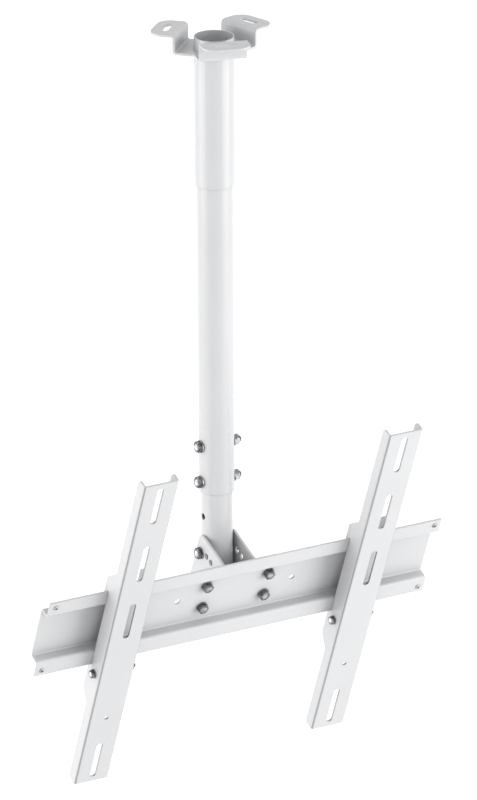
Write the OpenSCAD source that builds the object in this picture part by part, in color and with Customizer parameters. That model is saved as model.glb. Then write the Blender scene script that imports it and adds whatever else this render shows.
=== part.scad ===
// Ceiling mount for a television: a folded three-arm ceiling bracket, a three-stage
// telescopic pole, and a tilting head with a hat-section rail and two sliding arms.
// The top faces of the ceiling tabs lie at z = 0 and the pole hangs along -Z.
// The television hangs on the -Y side, and the rail runs along X.

/* [Ceiling bracket] */
// Sheet thickness of the ceiling bracket
bracket_t = 3; // [2:0.5:4]
// Height from the low web's underside to the ceiling
bracket_h = 25; // [20:1:45]
// Width of each of the three arms
bracket_arm_w = 60; // [54:1:66]
// Distance from the pole's axis to the outer face of a riser
bracket_riser_reach = 44.5; // [42:0.5:56]
// Distance from the pole's axis to the tip of a tab
bracket_tab_reach = 76.5; // [74:0.5:100]
// Corner radius at the tip of a tab
bracket_tab_r = 17; // [4:1:18]
// Inside radius of the bracket's folds
bracket_fold_r = 2.5; // [1:0.5:4]
// Distance from the pole's axis to the middle of a screw slot
bracket_slot_reach = 60; // [58:0.5:63]
// Width of a screw slot
bracket_slot_w = 9; // [5:0.5:11]
// Length of a screw slot
bracket_slot_len = 28; // [14:1:34]
// Turn of the bracket about the pole
bracket_turn = 15; // [-30:1:30]

/* [Upper tube] */
// Outer diameter of the upper tube
upper_d = 50; // [49.5:0.1:54]
// Wall of the upper tube
upper_wall = 1.5; // [1:0.1:1.7]
// Length of the upper tube
upper_len = 191; // [175:1:260]
// Gap between the open mouth of the pole and the ceiling
mouth_gap = 6; // [4:1:16]
// Leg of the weld fillet under the bracket
weld_leg = 3; // [2:0.5:5]

/* [Pole clamp] */
// Thread diameter of the clamp screws
clamp_d = 8; // [5:1:10]
// Width across flats of the clamp screw heads and weld nuts
clamp_flats = 13; // [12:0.5:17]
// Height of a weld nut
clamp_nut_h = 8; // [5:0.5:10]
// Height of a clamp screw's head
clamp_head_h = 5.3; // [3:0.1:8]
// Screw length left between the weld nut and the head
clamp_stand = 4; // [1:0.5:10]
// Height of the first clamp screw above the upper tube's end
clamp_rise = 34; // [30:1:40]
// Distance between the clamp screws
clamp_pitch = 28; // [24:1:34]

/* [Guides] */
// Height of the plastic guide bush in the upper tube's end
bush_h = 20; // [14:1:22]
// Height of the plastic glide on top of the middle tube
glide_h = 18; // [10:1:30]
// Running clearance of the bush and the glide, on the radius
guide_clear = 0.08; // [0.03:0.01:0.1]

/* [Middle tube] */
// Outer diameter of the middle tube
middle_d = 45; // [44:0.1:45.4]
// Wall of the middle tube
middle_wall = 2; // [1.5:0.1:2.2]
// Length of the middle tube
middle_len = 535; // [500:1:545]
// Length of the middle tube that shows below the upper tube
middle_show = 405.5; // [395:0.5:420]

/* [Lower tube] */
// Outer diameter of the lower tube
lower_d = 40; // [36:0.1:40.4]
// Wall of the lower tube
lower_wall = 2; // [1.5:0.1:3]
// Length of the lower tube
lower_len = 430; // [330:1:520]
// Distance from the middle tube's end down to the tilt pivot
lower_show = 82; // [76:0.5:110]
// Tube left below the tilt guide bolt
lower_tail = 16; // [12:1:24]
// Pitch of the holes for height adjustment
step_pitch = 47.5; // [30:0.5:52]
// Number of holes in the lower tube for height adjustment
step_count = 7; // [4:1:7]
// Height of the first through bolt above the middle tube's end
step_rise = 14; // [12:0.5:24]

/* [Large bolts] */
// Thread diameter of the pole, tilt and rail bolts
bolt_d = 8; // [6:0.5:8.5]
// Width across flats of the large heads and nuts
bolt_flats = 13; // [11:0.5:15]
// Height of a large head
bolt_head_h = 5.3; // [4:0.1:6.5]
// Height of a large nut
bolt_nut_h = 6.5; // [5:0.1:8]
// Diameter of the large washers
bolt_washer_d = 16; // [15.5:0.5:19]
// Thickness of the large washers
bolt_washer_t = 1.6; // [1:0.1:2.5]
// Thread that stands out past a large nut
bolt_end = 3.5; // [1:0.5:10]
// Clearance of a large bolt in its holes, on the radius
bolt_clear = 0.3; // [0.1:0.05:0.5]
// Clearance of a shank in its washers, on the radius
washer_clear = 0.2; // [0.1:0.05:0.3]

/* [Tilt head] */
// Tilt of the head, top edge forward
tilt = 22.5; // [8:0.5:24]
// Largest tilt that the guide slots allow
tilt_max = 25; // [24:1:30]
// Sheet thickness of the cheeks
cheek_t = 3; // [2:0.5:4]
// Gap between the lower tube and each cheek
cheek_gap = 0.5; // [0.3:0.1:2]
// Height of the cheeks
cheek_h = 85.6; // [80:0.2:100]
// Height of the cheek's top edge above the tilt pivot
cheek_rise = 24.3; // [18:0.1:28]
// Depth of the cheek behind the tilt pivot
cheek_back = 11.5; // [10:0.5:20]
// Outside width over the two cheek flanges
cheek_span = 124; // [112:1:150]
// Inside radius of the cheek's fold
cheek_fold_r = 2.5; // [1:0.5:4]
// Corner radius of the cheek's ear and flange
cheek_corner_r = 9; // [3:0.5:10]
// Running clearance of the tilt bolt in the cheeks, on the radius
pivot_clear = 0.06; // [0.03:0.01:0.1]
// Distance from the tilt pivot to the guide bolt
guide_reach = 45; // [40:1:47]
// Distance from the tilt pivot forward to the first spare hole
spare_reach = 13.4; // [12:0.1:15]
// Pitch of the two spare holes
spare_pitch = 11.8; // [11:0.1:14]
// Height of the spare holes above the tilt pivot
spare_rise = 5.2; // [0:0.1:8]

/* [Rail] */
// Length of the rail
rail_len = 563; // [540:1:760]
// Sheet thickness of the rail
rail_t = 2.5; // [2:0.1:3]
// Inside height of the rail's web
web_h = 76.9; // [70:0.1:84]
// Distance from the web's front face to the lips' front face
lip_step = 14.8; // [12:0.1:17]
// Height of a lip from the web's inner edge to its tip
lip_h = 23.4; // [20:0.1:26]
// Inside radius of the rail's folds
rail_fold_r = 2; // [1:0.5:3]
// Distance from the tilt pivot to the web's front face
web_reach = 56.5; // [54:0.5:70]
// Distance of the rail's middle below the tilt pivot
rail_drop = 18.5; // [17:0.1:20]
// Distance between the two columns of rail bolts
rail_bolt_x = 88.6; // [84:0.1:96]
// Distance between the two rows of rail bolts
rail_bolt_z = 36; // [32:1:46]
// Distance between the two free holes in the web
web_hole_x = 165.4; // [140:0.2:200]
// Diameter of the free holes in the web
web_hole_d = 8; // [4:0.5:10]

/* [Stop screws] */
// Thread diameter of the stop screws
stop_d = 4; // [3:0.5:5]
// Diameter of a stop screw's head
stop_head_d = 7; // [6:0.5:9]
// Height of a stop screw's head
stop_head_h = 2.4; // [1.5:0.1:4]
// Distance of a stop screw from the rail's end
stop_inset = 9; // [7:0.5:16]
// Distance of a stop screw from the lip's tip
stop_drop = 8.4; // [6:0.2:12]

/* [Arms] */
// Length of an arm
arm_len = 508.8; // [480:0.2:560]
// Outside width of an arm
arm_w = 48.5; // [40:0.5:56]
// Sheet thickness of the arms
arm_t = 2.5; // [2:0.1:3]
// Depth of the arm's side flanges
arm_depth = 16.2; // [15:0.1:20]
// Inside radius of the arm's folds
arm_fold_r = 1; // [1:0.5:3]
// Rounding of the flanges' rear corners at the arms' ends
arm_end_r = 6; // [1:0.5:8]
// Distance from the web's front face to the arm's face
arm_reach = 39.3; // [36:0.1:46]
// Height of the arm's middle above the rail's middle
arm_rise = 3.1; // [-8:0.1:10]
// Place of the left arm's middle along the rail
arm_left_x = -176.4; // [-210:0.1:-140]
// Place of the right arm's middle along the rail
arm_right_x = 170.1; // [140:0.1:210]
// Clearance between the arms and the rail
arm_clear = 0.3; // [0.3:0.1:0.8]

/* [Arm hooks] */
// Depth of the upper hook behind the arm's face
hook_depth = 33.5; // [31:0.5:37]
// Height of the upper hook above the rail's lip
hook_rise = 18.5; // [10:0.5:26]
// Slope length between the upper hook and the plain flange
hook_slope = 18.5; // [10:0.5:26]
// Depth of the lower lobe behind the arm's face
lobe_depth = 31; // [30.5:0.5:34]
// Length of the lower lobe below the rail's lip
lobe_drop = 43; // [36:0.5:54]
// Slope length between the lower lobe and the plain flange
lobe_slope = 17; // [10:0.5:24]
// Overlap of the hooks behind the lips
hook_bite = 15; // [8:0.5:17]

/* [Arm slots] */
// Length of a screw slot in the arms
slot_len = 58.5; // [40:0.5:62]
// Width of a screw slot in the arms
slot_w = 8.7; // [5:0.1:12]
// Pitch of the three upper slots
slot_pitch = 96.6; // [80:0.2:98]
// Distance from the arm's end to the nearest slot's end
slot_edge = 7.5; // [5:0.5:16]
// Distance from the arm's lower end to its small hole
eye_rise = 111.4; // [90:0.2:140]
// Diameter of the small hole
eye_d = 6; // [3:0.5:8]

/* [Lock bolts] */
// Thread diameter of the lock bolts
lock_d = 6; // [4:0.5:7]
// Width across flats of the lock bolt heads and nuts
lock_flats = 10; // [8:0.5:11]
// Height of a lock bolt's head
lock_head_h = 4; // [3:0.1:5]
// Height of a lock nut
lock_nut_h = 5; // [4:0.1:6]
// Diameter of the lock bolt washers
lock_washer_d = 12; // [11:0.5:14]
// Thickness of the lock bolt washers
lock_washer_t = 1.2; // [0.8:0.1:2]
// Thread that stands out past a lock nut
lock_end = 3; // [1:0.5:6]
// Distance of a lock bolt behind the arm's face
lock_depth = 14; // [12:0.5:18]
// Distance of a lock bolt below the lip's tip
lock_drop = 7; // [5:0.5:14]

/* [Hidden] */

$fn = 64;
// A small length that carries a cut past a face
over = 1;

coat = [0.93, 0.935, 0.94];
zinc = [0.42, 0.42, 0.44];
dark = [0.2, 0.2, 0.22];
nylon = [0.16, 0.16, 0.17];

// Heights along the pole
upper_top = -mouth_gap;
upper_end = upper_top - upper_len;
middle_end = upper_end - middle_show;
middle_top = middle_end + middle_len;
pivot_z = middle_end - lower_show;
lower_end = pivot_z - guide_reach - lower_tail;
lower_top = lower_end + lower_len;
step_z = middle_end + step_rise;

// Radii of the pole's tubes
upper_bore = upper_d / 2 - upper_wall;
middle_bore = middle_d / 2 - middle_wall;

// Corner radius between two ceiling arms
bracket_notch_r = 3;

// Clamp screws stand on the side of the pole that faces away from the television
clamp_turn = bracket_turn + 60;
clamp_gap = 0.3;
clamp_nut_from = sqrt(pow(upper_d / 2, 2) - pow(clamp_flats / 2, 2));

// Tilt head, across
cheek_x = lower_d / 2 + cheek_gap;
ear_x = cheek_x + cheek_t;
web_back = rail_t;
lip_tip = web_h / 2 + lip_h;

// Arms, in depth from the arm's face
lip_depth = arm_reach - lip_step;
notch_depth = lip_depth - arm_clear;
bite_depth = lip_depth + rail_t + arm_clear;
notch_half = lip_tip + arm_clear;

// Fillets of the arm's hooks: at the plain flange, at the lobe, at the hook, at the hook's
// lower corner, at the bites' corners and at the notch's mouth
flange_round = 7;
lobe_round = 12;
hook_round = 5;
heel_round = 2.5;
bite_round = 1.2;
mouth_round = 0.6;
// Depth at which the arm's channel ends and the outline of its flanges goes on
channel_depth = arm_depth / 2;

// Relief of the guide slot's round ends and of every fillet, on the radius
slot_relief = 0.02;
fillet_relief = 0.01;
// Hollow of the weld's face, as a share of its leg
weld_hollow = 0.85;
// Chamfer at a bolt's tip, as a share of its thread diameter
tip_share = 0.125;
// Chamfer of a hexagon's corners, as a share of its width across flats
hex_chamfer = 0.08;
// Width across corners over width across flats
hex_ratio = 2 / sqrt(3);

// A point turned about the origin
function turned(p, a) = [p[0] * cos(a) - p[1] * sin(a), p[0] * sin(a) + p[1] * cos(a)];
// Unit vector from one point to another
function toward(p, q) = (q - p) / norm(q - p);
// Turn of the outline at a corner, positive on a convex one
function turn_at(a, p, b) = (p[0] - a[0]) * (b[1] - p[1]) - (p[1] - a[1]) * (b[0] - p[0]);

// Half the angle between the two edges at a corner
function half_angle(a, p, b) = acos(toward(p, a) * toward(p, b)) / 2;
// Distance from a corner to the ends of its fillet
function fillet_reach(a, p, b, r) = r / tan(half_angle(a, p, b));
// Unit vector from a corner to the centre of its fillet
function inward(a, p, b) = toward([0, 0], toward(p, a) + toward(p, b));
function fillet_centre(a, p, b, r) = p + inward(a, p, b) * r / sin(half_angle(a, p, b));
// A concave corner's chord between the ends of its fillet, or any other corner as it is
function chorded(a, p, b, r) = r > 0 && turn_at(a, p, b) < 0
    ? [p + toward(p, a) * fillet_reach(a, p, b, r), p + toward(p, b) * fillet_reach(a, p, b, r)]
    : [p];

// What a fillet takes off a convex corner
module corner_cut(a, p, b, r) {
    reach = fillet_reach(a, p, b, r);
    centre = fillet_centre(a, p, b, r);
    difference() {
        polygon([
            p + toward(p, a) * reach, p - inward(a, p, b) * over,
            p + toward(p, b) * reach, centre
        ]);
        translate(centre) circle(r = r + fillet_relief);
    }
}

// A counter-clockwise outline whose corners have the given fillet radii
module filleted(points, radii) {
    n = len(points);
    difference() {
        polygon([
            for (i = [0 : n - 1])
                each chorded(points[(i + n - 1) % n], points[i], points[(i + 1) % n], radii[i])
        ]);
        for (i = [0 : n - 1]) {
            a = points[(i + n - 1) % n];
            b = points[(i + 1) % n];
            if (radii[i] > 0 && turn_at(a, points[i], b) < 0) {
                translate(fillet_centre(a, points[i], b, radii[i]))
                    circle(r = radii[i] + fillet_relief);
            }
            if (radii[i] > 0 && turn_at(a, points[i], b) > 0) {
                corner_cut(a, points[i], b, radii[i]);
            }
        }
    }
}

// Extrudes an outline drawn in Y and Z along X, about x = 0
module along_x(length) {
    rotate([90, 0, 90]) linear_extrude(height = length, center = true) children();
}

// Extrudes an outline drawn in X and Z along Y, about y = 0
module along_y(length) {
    rotate([90, 0, 0]) linear_extrude(height = length, center = true) children();
}

// A round rod along +X, from x = 0
module rod_x(r, length) {
    rotate([0, 90, 0]) cylinder(r = r, h = length);
}

// A slot outline with round ends, along the first axis
module slot_outline(length, width) {
    half = (length - width) / 2;
    square([2 * half, width], center = true);
    translate([-half, 0]) circle(d = width);
    translate([half, 0]) circle(d = width);
}

// A tube between two heights
module tube(r_out, r_in, low, high) {
    translate([0, 0, low]) difference() {
        cylinder(r = r_out, h = high - low);
        translate([0, 0, -over]) cylinder(r = r_in, h = high - low + 2 * over);
    }
}

// A hexagon block on z = 0 with its corners chamfered on the chosen ends
module hex_block(flats, height, low_chamfer, high_chamfer) {
    r = flats * hex_ratio / 2;
    c = flats * hex_chamfer;
    rise = c * tan(30);
    low = low_chamfer ? [[r - c, 0], [r, rise]] : [[r, 0]];
    high = high_chamfer ? [[r, height - rise], [r - c, height]] : [[r, height]];
    intersection() {
        cylinder(r = r, h = height, $fn = 6);
        rotate_extrude() polygon(concat([[0, 0]], low, high, [[0, height]]));
    }
}

// A nut along +X, from x = 0
module nut_x(flats, height, bore) {
    rotate([0, 90, 0]) difference() {
        hex_block(flats, height, true, true);
        translate([0, 0, -over]) cylinder(r = bore, h = height + 2 * over);
    }
}

// A bolt whose head bears on x = 0 and whose shank runs along +X
module bolt_x(d, flats, head_h, length) {
    tip = d * tip_share;
    rotate([0, -90, 0]) hex_block(flats, head_h, false, true);
    rotate([0, 90, 0]) cylinder(d = d, h = length - tip);
    translate([length - tip, 0, 0]) rotate([0, 90, 0]) cylinder(d1 = d, d2 = d - 2 * tip, h = tip);
}

// A washer along +X, from x = 0
module washer_x(d, t, bore) {
    rotate([0, 90, 0]) difference() {
        cylinder(d = d, h = t);
        translate([0, 0, -over]) cylinder(r = bore, h = t + 2 * over);
    }
}

// A large bolt that clamps from x = -half to x = half, its head at -X
module large_bolt(half) {
    translate([-half - bolt_washer_t, 0, 0])
        bolt_x(bolt_d, bolt_flats, bolt_head_h, 2 * half + 2 * bolt_washer_t + bolt_nut_h + bolt_end);
}

module large_washers(half) {
    for (x = [-half - bolt_washer_t, half]) {
        translate([x, 0, 0]) washer_x(bolt_washer_d, bolt_washer_t, bolt_d / 2 + washer_clear);
    }
}

module large_nut(half) {
    translate([half + bolt_washer_t, 0, 0]) nut_x(bolt_flats, bolt_nut_h, bolt_d / 2);
}

// Puts its children on the tilt pivot, tilted with the head
module on_head() {
    translate([0, 0, pivot_z]) rotate([tilt, 0, 0]) children();
}

// Puts its children on the middle of the web's front face
module on_rail() {
    on_head() translate([0, -web_reach, -rail_drop]) children();
}

// The three arms of the ceiling bracket
module on_bracket_arms() {
    for (turn = [0, 120, 240]) {
        rotate([0, 0, bracket_turn + turn]) children();
    }
}

// Plan of the bracket in X and Y: three arms with rounded tips around the pole
module bracket_plan() {
    half = bracket_arm_w / 2;
    tip = [[bracket_tab_reach, -half], [bracket_tab_reach, half]];
    notch = turned([half / sin(60), 0], 60);
    filleted(
        [for (a = [0, 120, 240]) each [turned(tip[0], a), turned(tip[1], a), turned(notch, a)]],
        [for (a = [0, 120, 240]) each [bracket_tab_r, bracket_tab_r, bracket_notch_r]]
    );
}

// The hollow between the three risers, above the low web
module bracket_pocket() {
    reach = bracket_riser_reach - bracket_t;
    floor_z = bracket_t - bracket_h;
    difference() {
        translate([0, 0, floor_z]) linear_extrude(height = bracket_h)
            polygon([for (a = [60, 180, 300]) turned([2 * reach, 0], bracket_turn + a)]);
        on_bracket_arms() along_y(bracket_arm_w + 2 * over)
            corner_cut([reach, 0], [reach, floor_z], [0, floor_z], bracket_fold_r);
    }
}

// What the folds leave free in the X and Z plane of one arm: below the tab and at both bends
module bracket_outside() {
    reach = bracket_riser_reach;
    outer = bracket_fold_r + bracket_t;
    far = bracket_tab_reach + over;
    filleted(
        [[reach, -bracket_h - over], [far, -bracket_h - over], [far, -bracket_t], [reach, -bracket_t]],
        [0, 0, 0, bracket_fold_r]
    );
    corner_cut([reach, 0], [reach, -bracket_h], [0, -bracket_h], outer);
    corner_cut([reach - bracket_t, -bracket_h], [reach - bracket_t, 0], [far, 0], outer);
}

module ceiling_bracket() {
    color(coat) difference() {
        translate([0, 0, -bracket_h]) rotate(bracket_turn)
            linear_extrude(height = bracket_h) bracket_plan();
        bracket_pocket();
        on_bracket_arms() {
            along_y(bracket_arm_w + 2 * over) bracket_outside();
            translate([bracket_slot_reach, 0, -bracket_t - over])
                linear_extrude(height = bracket_t + 2 * over)
                    rotate(90) slot_outline(bracket_slot_len, bracket_slot_w);
        }
        translate([0, 0, -bracket_h - over]) cylinder(d = upper_d, h = bracket_h);
    }
}

module upper_tube() {
    color(coat) difference() {
        tube(upper_d / 2, upper_bore, upper_end, upper_top);
        on_clamp_screws() rod_x(clamp_d / 2 + bolt_clear, upper_d);
    }
}

// A fillet weld between the bracket's underside and the upper tube
module bracket_weld() {
    r = upper_d / 2;
    color(coat) translate([0, 0, -bracket_h]) rotate_extrude() difference() {
        translate([r, -weld_leg]) square(weld_leg);
        translate([r + weld_leg, -weld_leg]) circle(r = weld_leg * weld_hollow);
    }
}

// The clamp screws' axes run outwards along +X from the pole's axis
module on_clamp_screws() {
    for (i = [0, 1]) {
        translate([0, 0, upper_end + clamp_rise + i * clamp_pitch])
            rotate([0, 0, clamp_turn]) children();
    }
}

module clamp_weld_nuts() {
    color(coat) on_clamp_screws() difference() {
        translate([clamp_nut_from, 0, 0]) nut_x(clamp_flats, clamp_nut_h, clamp_d / 2);
        translate([0, 0, -clamp_flats]) cylinder(d = upper_d, h = 2 * clamp_flats);
    }
}

module clamp_screws() {
    head_from = clamp_nut_from + clamp_nut_h + clamp_stand;
    length = head_from - middle_d / 2 - clamp_gap;
    color(dark) on_clamp_screws() translate([head_from, 0, 0]) mirror([1, 0, 0])
        bolt_x(clamp_d, clamp_flats, clamp_head_h, length);
}

module guide_bush() {
    color(nylon)
        tube(upper_bore - guide_clear, middle_d / 2 + guide_clear, upper_end, upper_end + bush_h);
}

module middle_tube() {
    color(coat) difference() {
        tube(middle_d / 2, middle_bore, middle_end, middle_top);
        for (i = [0, 1]) {
            translate([-middle_d, 0, step_z + i * step_pitch])
                rod_x(bolt_d / 2 + bolt_clear, 2 * middle_d);
        }
    }
}

// A nylon cap ring on the middle tube's top end, running in the upper tube
module top_glide() {
    color(nylon) difference() {
        tube(upper_bore - guide_clear, middle_bore, middle_top - glide_h, middle_top + bracket_t);
        translate([0, 0, middle_top - glide_h - over])
            cylinder(d = middle_d, h = glide_h + over);
    }
}

module lower_tube() {
    hole_r = bolt_d / 2 + bolt_clear;
    color(coat) difference() {
        tube(lower_d / 2, lower_d / 2 - lower_wall, lower_end, lower_top);
        for (i = [-1 : step_count - 2]) {
            translate([-lower_d, 0, step_z + i * step_pitch]) rod_x(hole_r, 2 * lower_d);
        }
        translate([-lower_d, 0, pivot_z]) rod_x(hole_r, 2 * lower_d);
        translate([-lower_d, 0, pivot_z - guide_reach]) rod_x(hole_r, 2 * lower_d);
    }
}

// The two through bolts that hold the lower tube in the middle tube
module on_pole_bolts() {
    for (i = [0, 1]) {
        translate([0, 0, step_z + i * step_pitch]) children();
    }
}

module pole_bolts() {
    color(dark) on_pole_bolts() large_bolt(middle_d / 2);
}

module pole_washers() {
    color(zinc) on_pole_bolts() large_washers(middle_d / 2);
}

module pole_nuts() {
    color(zinc) on_pole_bolts() large_nut(middle_d / 2);
}

module pivot_bolt() {
    color(dark) translate([0, 0, pivot_z]) large_bolt(ear_x);
}

module pivot_washers() {
    color(zinc) translate([0, 0, pivot_z]) large_washers(ear_x);
}

module pivot_nut() {
    color(zinc) translate([0, 0, pivot_z]) large_nut(ear_x);
}

module guide_bolt() {
    color(dark) translate([0, 0, pivot_z - guide_reach]) large_bolt(ear_x);
}

module guide_washers() {
    color(zinc) translate([0, 0, pivot_z - guide_reach]) large_washers(ear_x);
}

module guide_nut() {
    color(zinc) translate([0, 0, pivot_z - guide_reach]) large_nut(ear_x);
}

// The curved slot in an ear, in Y and Z about the tilt pivot, for the guide bolt
module tilt_slot() {
    half = bolt_d / 2 + bolt_clear;
    wide = 2 * guide_reach;
    difference() {
        circle(r = guide_reach + half);
        circle(r = guide_reach - half);
        polygon([[0, 0], [0, -wide], [wide, -wide], [wide, wide], [-wide, wide], [-wide, 0]]);
        rotate(-tilt_max) translate([-wide, -wide]) square([wide, 2 * wide]);
    }
    for (turn = [0, tilt_max]) {
        rotate(-turn) translate([0, -guide_reach]) circle(r = half + slot_relief);
    }
}

// Section of the right cheek in X and Y: an ear beside the tube and a flange on the web
module cheek_section() {
    front = web_back - web_reach;
    outer = cheek_fold_r + cheek_t;
    filleted(
        [
            [cheek_x, front], [cheek_span / 2, front], [cheek_span / 2, front + cheek_t],
            [ear_x, front + cheek_t], [ear_x, cheek_back], [cheek_x, cheek_back]
        ],
        [outer, 0, 0, cheek_fold_r, 0, 0]
    );
}

module cheek() {
    low = cheek_rise - cheek_h;
    front = web_back - web_reach;
    color(coat) on_head() difference() {
        intersection() {
            translate([0, 0, low]) linear_extrude(height = cheek_h) cheek_section();
            along_x(2 * cheek_span) filleted(
                [
                    [front - over, low], [cheek_back, low],
                    [cheek_back, cheek_rise], [front - over, cheek_rise]
                ],
                [0, cheek_corner_r, cheek_corner_r, 0]
            );
            along_y(2 * (web_reach + cheek_back)) filleted(
                [
                    [0, low], [cheek_span / 2, low],
                    [cheek_span / 2, cheek_rise], [0, cheek_rise]
                ],
                [0, cheek_corner_r, cheek_corner_r, 0]
            );
        }
        rod_x(bolt_d / 2 + pivot_clear, 2 * ear_x);
        for (i = [0, 1]) {
            translate([0, -spare_reach - i * spare_pitch, spare_rise])
                rod_x(bolt_d / 2 + bolt_clear, 2 * ear_x);
        }
        translate([ear_x, 0, 0]) along_x(2 * ear_x) tilt_slot();
        translate([0, -web_reach, -rail_drop]) on_rail_bolts()
            translate([0, 0, -web_reach]) cylinder(r = bolt_d / 2 + bolt_clear, h = 2 * web_reach);
    }
}

module cheek_right() {
    cheek();
}

module cheek_left() {
    mirror([1, 0, 0]) cheek();
}

// Hat section of the rail in Y and Z: web, two legs and two lips
module rail_section() {
    t = rail_t;
    inner = rail_fold_r;
    outer = rail_fold_r + rail_t;
    edge = web_h / 2;
    filleted(
        [
            [t, -edge - t], [t, edge + t], [t - lip_step, edge + t], [t - lip_step, lip_tip],
            [-lip_step, lip_tip], [-lip_step, edge], [0, edge], [0, -edge],
            [-lip_step, -edge], [-lip_step, -lip_tip], [t - lip_step, -lip_tip],
            [t - lip_step, -edge - t]
        ],
        [outer, outer, inner, 0, 0, outer, inner, inner, outer, 0, 0, inner]
    );
}

// The four rail bolts, their axes along the children's +Z towards the back of the web
module on_rail_bolts() {
    for (x = [-1, 1], z = [-1, 1]) {
        translate([x * rail_bolt_x / 2, 0, z * rail_bolt_z / 2]) rotate([-90, 0, 0]) children();
    }
}

// The four stop screws, on the lips' front face near their ends
module on_stop_screws() {
    for (x = [-1, 1], z = [-1, 1]) {
        translate([x * (rail_len / 2 - stop_inset), -lip_step, z * (lip_tip - stop_drop)])
            rotate([-90, 0, 0]) children();
    }
}

module rail() {
    color(coat) on_rail() difference() {
        along_x(rail_len) rail_section();
        on_rail_bolts() translate([0, 0, -over])
            cylinder(r = bolt_d / 2 + bolt_clear, h = rail_t + 2 * over);
        for (x = [-1, 1]) {
            translate([x * web_hole_x / 2, 0, 0]) rotate([-90, 0, 0])
                translate([0, 0, -over]) cylinder(d = web_hole_d, h = rail_t + 2 * over);
        }
        on_stop_screws() translate([0, 0, -over]) cylinder(d = stop_d, h = rail_t + 2 * over);
    }
}

// A large bolt along Z, its head before z = 0 and its shank through the web and the cheek
module rail_bolts() {
    clamped = rail_t + cheek_t;
    color(dark) on_rail() on_rail_bolts() rotate([0, -90, 0]) translate([-bolt_washer_t, 0, 0])
        bolt_x(bolt_d, bolt_flats, bolt_head_h, clamped + 2 * bolt_washer_t + bolt_nut_h + bolt_end);
}

module rail_washers() {
    color(zinc) on_rail() on_rail_bolts() {
        for (z = [-bolt_washer_t, rail_t + cheek_t]) {
            translate([0, 0, z]) rotate([0, -90, 0])
                washer_x(bolt_washer_d, bolt_washer_t, bolt_d / 2 + washer_clear);
        }
    }
}

module rail_nuts() {
    color(zinc) on_rail() on_rail_bolts() rotate([0, -90, 0])
        translate([rail_t + cheek_t + bolt_washer_t, 0, 0]) nut_x(bolt_flats, bolt_nut_h, bolt_d / 2);
}

// Round-headed screws whose heads keep the arms on the rail
module stop_screws() {
    dome = (pow(stop_head_d / 2, 2) + pow(stop_head_h, 2)) / (2 * stop_head_h);
    color(dark) on_rail() on_stop_screws() {
        cylinder(d = stop_d, h = rail_t + over);
        intersection() {
            translate([0, 0, dome - stop_head_h]) sphere(r = dome);
            translate([0, 0, -stop_head_h]) cylinder(d = stop_head_d, h = stop_head_h);
        }
    }
}

// Section of an arm's channel in X and Y, its face at y = 0
module arm_section() {
    half = arm_w / 2;
    inner = arm_fold_r;
    outer = arm_fold_r + arm_t;
    filleted(
        [
            [-half, 0], [half, 0], [half, channel_depth], [half - arm_t, channel_depth],
            [half - arm_t, arm_t], [arm_t - half, arm_t], [arm_t - half, channel_depth],
            [-half, channel_depth]
        ],
        [outer, outer, 0, 0, inner, inner, 0, 0]
    );
}

// Outline of a flange's rear part in depth and height, with the hooks that hold the rail
module arm_flange_outline() {
    front = channel_depth - over;
    end = arm_len / 2;
    hook_top = notch_half + hook_rise;
    lobe_end = -notch_half - lobe_drop;
    bite_top = notch_half - hook_bite;
    low = lobe_end - lobe_slope;
    high = hook_top + hook_slope;
    filleted(
        [
            [front, arm_rise - end], [arm_depth, arm_rise - end], [arm_depth, low],
            [lobe_depth, lobe_end], [lobe_depth, -bite_top], [bite_depth, -bite_top],
            [bite_depth, -notch_half], [notch_depth, -notch_half], [notch_depth, notch_half],
            [bite_depth, notch_half], [bite_depth, bite_top], [hook_depth, bite_top],
            [hook_depth, hook_top], [arm_depth, high], [arm_depth, arm_rise + end],
            [front, arm_rise + end]
        ],
        [
            0, arm_end_r, flange_round, lobe_round, bite_round, bite_round, mouth_round, 0, 0,
            mouth_round, bite_round, heel_round, hook_round, flange_round, arm_end_r, 0
        ]
    );
}

// Heights of the four screw slots from the arm's middle
function slot_heights() = concat(
    [for (i = [0 : 2]) (arm_len - slot_len) / 2 - slot_edge - i * slot_pitch],
    [slot_edge - (arm_len - slot_len) / 2]
);

// An arm about its own middle, its face at y = 0 and the rail's middle at z = -arm_rise
module arm() {
    difference() {
        union() {
            translate([0, 0, -arm_len / 2]) linear_extrude(height = arm_len) arm_section();
            for (x = [-1, 1]) {
                translate([x * (arm_w - arm_t) / 2, 0, -arm_rise]) along_x(arm_t) arm_flange_outline();
            }
        }
        for (z = slot_heights()) {
            translate([0, 0, z]) along_y(4 * arm_t) rotate(90) slot_outline(slot_len, slot_w);
        }
        translate([0, 0, eye_rise - arm_len / 2]) along_y(4 * arm_t) circle(d = eye_d);
        translate([-arm_w, 0, 0]) at_lock() rod_x(lock_d / 2 + arm_clear, 2 * arm_w);
    }
}

// The lock bolt's axis, from the arm's middle
module at_lock() {
    translate([0, lock_depth, -arm_rise - lip_tip - lock_drop]) children();
}

// Puts its children on an arm's middle
module on_arm(x) {
    on_rail() translate([x, -arm_reach, arm_rise]) children();
}

module lock_bolt() {
    length = arm_w + 2 * lock_washer_t + lock_nut_h + lock_end;
    at_lock() translate([-arm_w / 2 - lock_washer_t, 0, 0])
        bolt_x(lock_d, lock_flats, lock_head_h, length);
}

module lock_washers() {
    at_lock() {
        for (x = [-arm_w / 2 - lock_washer_t, arm_w / 2]) {
            translate([x, 0, 0]) washer_x(lock_washer_d, lock_washer_t, lock_d / 2 + washer_clear);
        }
    }
}

module lock_nut() {
    at_lock() translate([arm_w / 2 + lock_washer_t, 0, 0]) nut_x(lock_flats, lock_nut_h, lock_d / 2);
}

module arm_left() {
    color(coat) on_arm(arm_left_x) arm();
}

module arm_left_bolt() {
    color(dark) on_arm(arm_left_x) lock_bolt();
}

module arm_left_washers() {
    color(zinc) on_arm(arm_left_x) lock_washers();
}

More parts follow.
